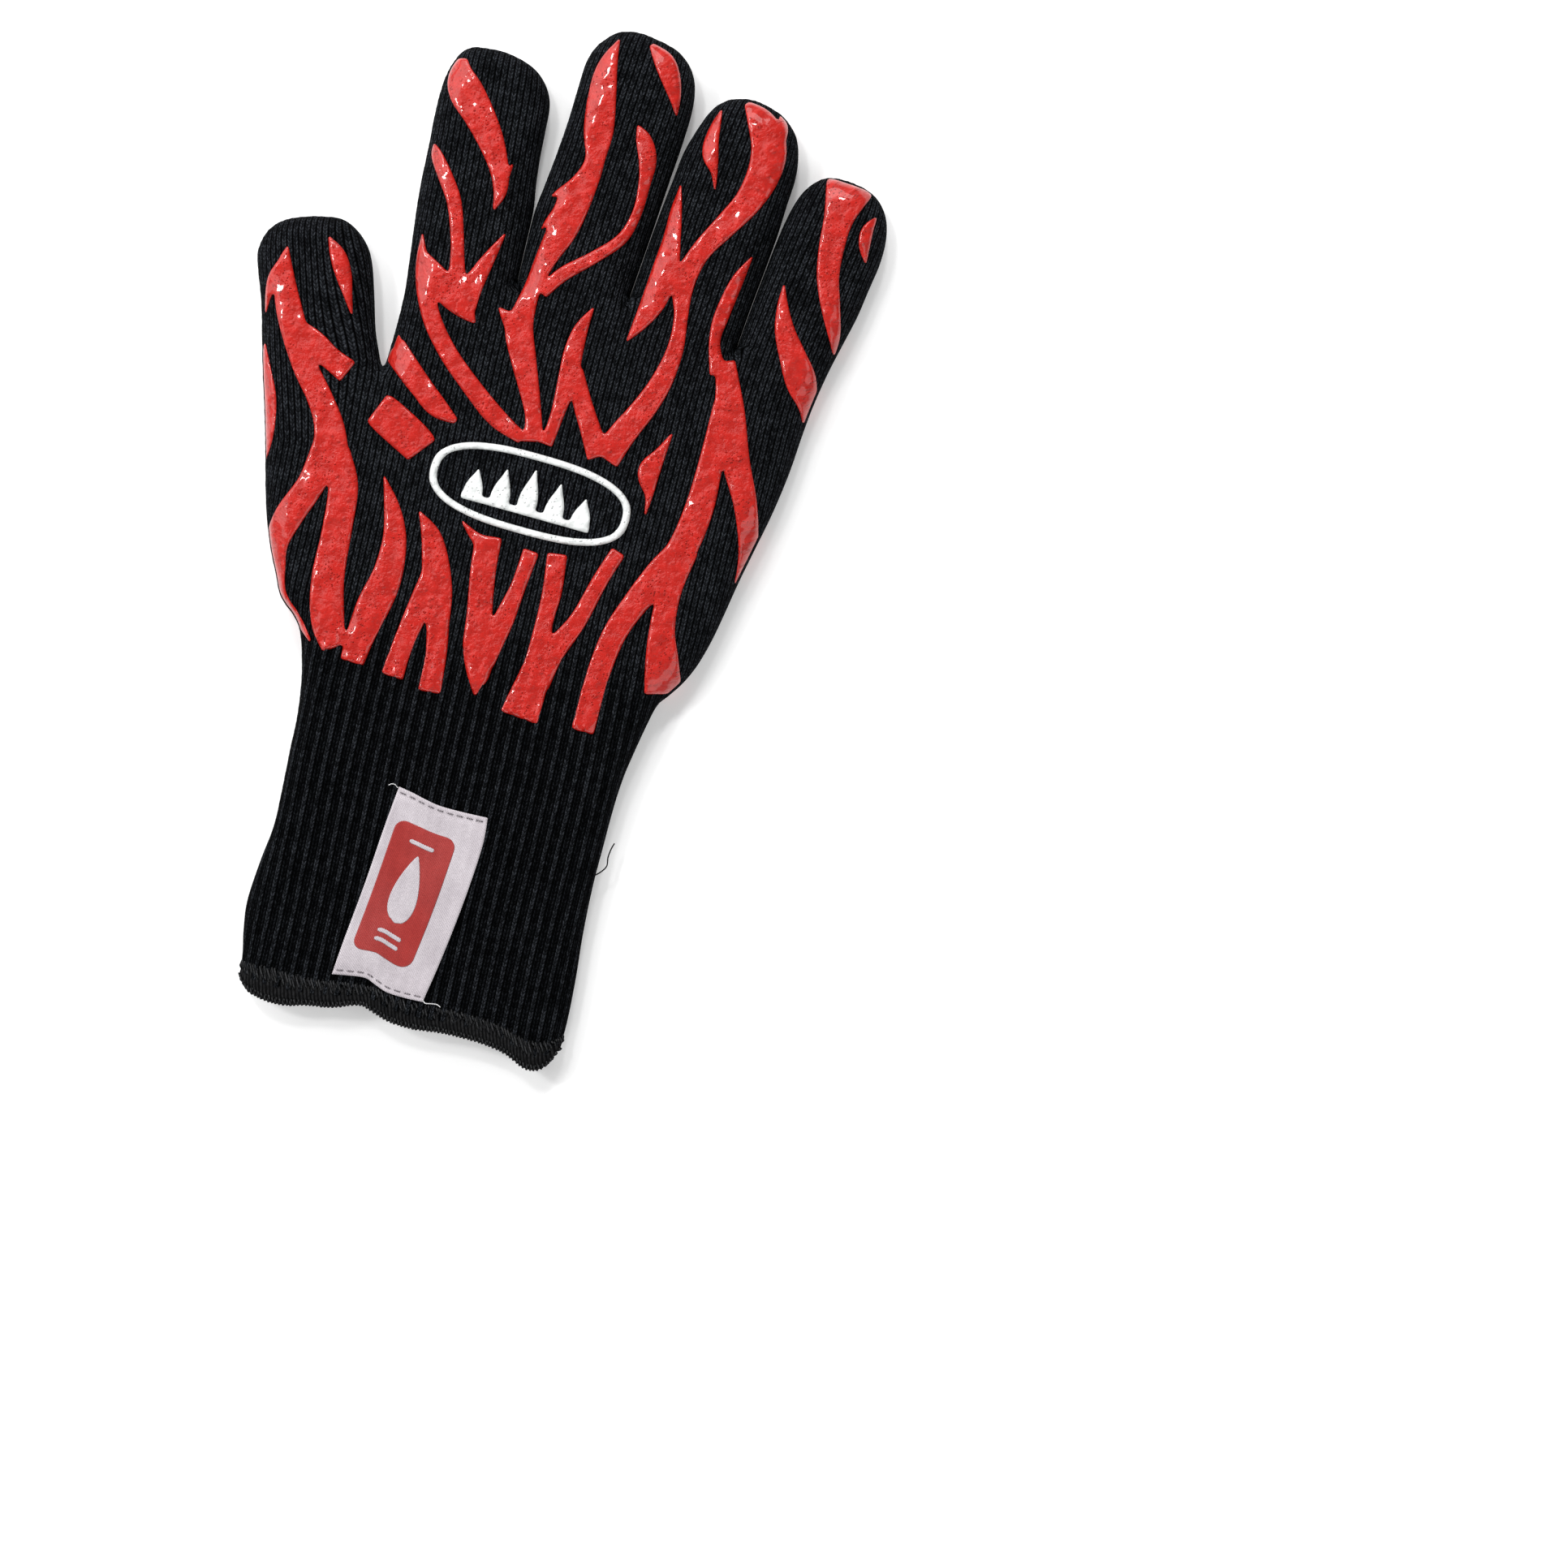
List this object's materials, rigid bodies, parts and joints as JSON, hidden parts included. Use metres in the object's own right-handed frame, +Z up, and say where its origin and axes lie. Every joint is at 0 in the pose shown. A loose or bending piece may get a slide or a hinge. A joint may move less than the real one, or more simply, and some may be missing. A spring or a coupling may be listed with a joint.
{
  "type": "heat resistant glove",
  "caption": "Knitted heat resistant grill glove, lined, with flame-shaped silicone grip strips and a ribbed cuff.",
  "frame": {"origin": "under the middle of the glove's box, on the surface it lies on", "axes": "+Y along the fingers from the cuff, +Z up out of the printed face, thumb at -X"},
  "size_m": [0.2036, 0.3426, 0.0188],
  "materials": {
    "aramid_knit": "near-black fine jersey knit of aramid and cotton, matt",
    "rib_knit": "near-black one-by-one rib knit, matt, slightly fuzzy",
    "cotton_liner": "soft charcoal cotton knit, matt",
    "hem_yarn": "black wrapped overlock yarn, matt",
    "silicone_print": "glossy raised red silicone with small bumps and bubbles",
    "badge_print": "off-white raised silicone print, satin",
    "satin_label": "white woven satin with a faint lilac cast and a red patch",
    "label_thread": "white sewing thread"
  },
  "bodies": {
    "palm": {"badge_fire_sign": "badge_print", "badge_ring": "badge_print", "grip_badge_side_on_palm": "silicone_print", "grip_centre_on_palm": "silicone_print", "grip_heel_centre_on_palm": "silicone_print", "grip_heel_left_on_palm": "silicone_print", "grip_heel_right_on_palm": "silicone_print", "grip_little_root_on_palm": "silicone_print", "grip_palm_edge_lower_on_palm": "silicone_print", "grip_palm_edge_upper_on_palm": "silicone_print", "grip_ring_side_on_palm": "silicone_print", "grip_thumb_on_palm": "silicone_print", "grip_thumb_side_on_palm": "silicone_print", "palm_liner": "cotton_liner", "palm_shell": "aramid_knit"},
    "cuff": {"cuff_liner": "cotton_liner", "cuff_shell": "rib_knit", "hem_binding": "hem_yarn", "label_seam_lower": "label_thread", "label_seam_upper": "label_thread", "woven_label": "satin_label"},
    "thumb_base": {"grip_thumb_on_thumb_base": "silicone_print", "grip_thumb_tip_on_thumb_base": "silicone_print", "thumb_base_liner": "cotton_liner", "thumb_base_shell": "aramid_knit"},
    "thumb_tip": {"grip_thumb_tip_on_thumb_tip": "silicone_print", "thumb_tip_liner": "cotton_liner", "thumb_tip_shell": "aramid_knit"},
    "index_base": {"grip_centre_on_index_base": "silicone_print", "grip_index_tip_on_index_base": "silicone_print", "index_base_liner": "cotton_liner", "index_base_shell": "aramid_knit"},
    "index_tip": {"grip_index_tip_on_index_tip": "silicone_print", "index_tip_liner": "cotton_liner", "index_tip_shell": "aramid_knit"},
    "middle_base": {"grip_centre_on_middle_base_1": "silicone_print", "grip_centre_on_middle_base_2": "silicone_print", "middle_base_liner": "cotton_liner", "middle_base_shell": "aramid_knit"},
    "middle_tip": {"grip_centre_on_middle_tip": "silicone_print", "grip_middle_tip_on_middle_tip": "silicone_print", "middle_tip_liner": "cotton_liner", "middle_tip_shell": "aramid_knit"},
    "ring_base": {"grip_centre_on_ring_base_1": "silicone_print", "grip_centre_on_ring_base_2": "silicone_print", "ring_base_liner": "cotton_liner", "ring_base_shell": "aramid_knit"},
    "ring_tip": {"grip_centre_on_ring_tip": "silicone_print", "grip_ring_tip_on_ring_tip": "silicone_print", "ring_tip_liner": "cotton_liner", "ring_tip_shell": "aramid_knit"},
    "little_base": {"grip_little_tip_on_little_base": "silicone_print", "little_base_liner": "cotton_liner", "little_base_shell": "aramid_knit"},
    "little_tip": {"grip_little_side_on_little_tip": "silicone_print", "grip_little_tip_on_little_tip": "silicone_print", "little_tip_liner": "cotton_liner", "little_tip_shell": "aramid_knit"}
  },
  "joints": [
    {"name": "wrist_bend", "type": "hinge", "parent": "palm", "child": "cuff", "pos_m": [0.0009, -0.07067, 0.0125], "axis": [-1, 0, 0], "range_deg": [0, 75]},
    {"name": "thumb_root_bend", "type": "hinge", "parent": "palm", "child": "thumb_base", "pos_m": [-0.0747, 0.04633, 0.0125], "axis": [0.9668, 0.2554, 0], "range_deg": [0, 55]},
    {"name": "thumb_middle_bend", "type": "hinge", "parent": "thumb_base", "child": "thumb_tip", "pos_m": [-0.0806, 0.06893, 0.0125], "axis": [0.9668, 0.2554, 0], "range_deg": [0, 75]},
    {"name": "index_root_bend", "type": "hinge", "parent": "palm", "child": "index_base", "pos_m": [-0.0335, 0.09233, 0.0125], "axis": [0.9989, 0.0471, 0], "range_deg": [0, 85]},
    {"name": "index_middle_bend", "type": "hinge", "parent": "index_base", "child": "index_tip", "pos_m": [-0.0349, 0.12133, 0.0125], "axis": [0.9989, 0.0471, 0], "range_deg": [0, 90]},
    {"name": "middle_root_bend", "type": "hinge", "parent": "palm", "child": "middle_base", "pos_m": [0.0045, 0.09633, 0.0125], "axis": [0.996, -0.0889, 0], "range_deg": [0, 85]},
    {"name": "middle_middle_bend", "type": "hinge", "parent": "middle_base", "child": "middle_tip", "pos_m": [0.0077, 0.13133, 0.0125], "axis": [0.996, -0.0889, 0], "range_deg": [0, 90]},
    {"name": "ring_root_bend", "type": "hinge", "parent": "palm", "child": "ring_base", "pos_m": [0.0433, 0.09633, 0.0125], "axis": [0.993, -0.1184, 0], "range_deg": [0, 85]},
    {"name": "ring_middle_bend", "type": "hinge", "parent": "ring_base", "child": "ring_tip", "pos_m": [0.0469, 0.12633, 0.0125], "axis": [0.993, -0.1184, 0], "range_deg": [0, 90]},
    {"name": "little_root_bend", "type": "hinge", "parent": "palm", "child": "little_base", "pos_m": [0.0787, 0.08833, 0.0125], "axis": [0.9848, -0.1736, 0], "range_deg": [0, 85]},
    {"name": "little_middle_bend", "type": "hinge", "parent": "little_base", "child": "little_tip", "pos_m": [0.0831, 0.11333, 0.0125], "axis": [0.9848, -0.1736, 0], "range_deg": [0, 90]}
  ]
}
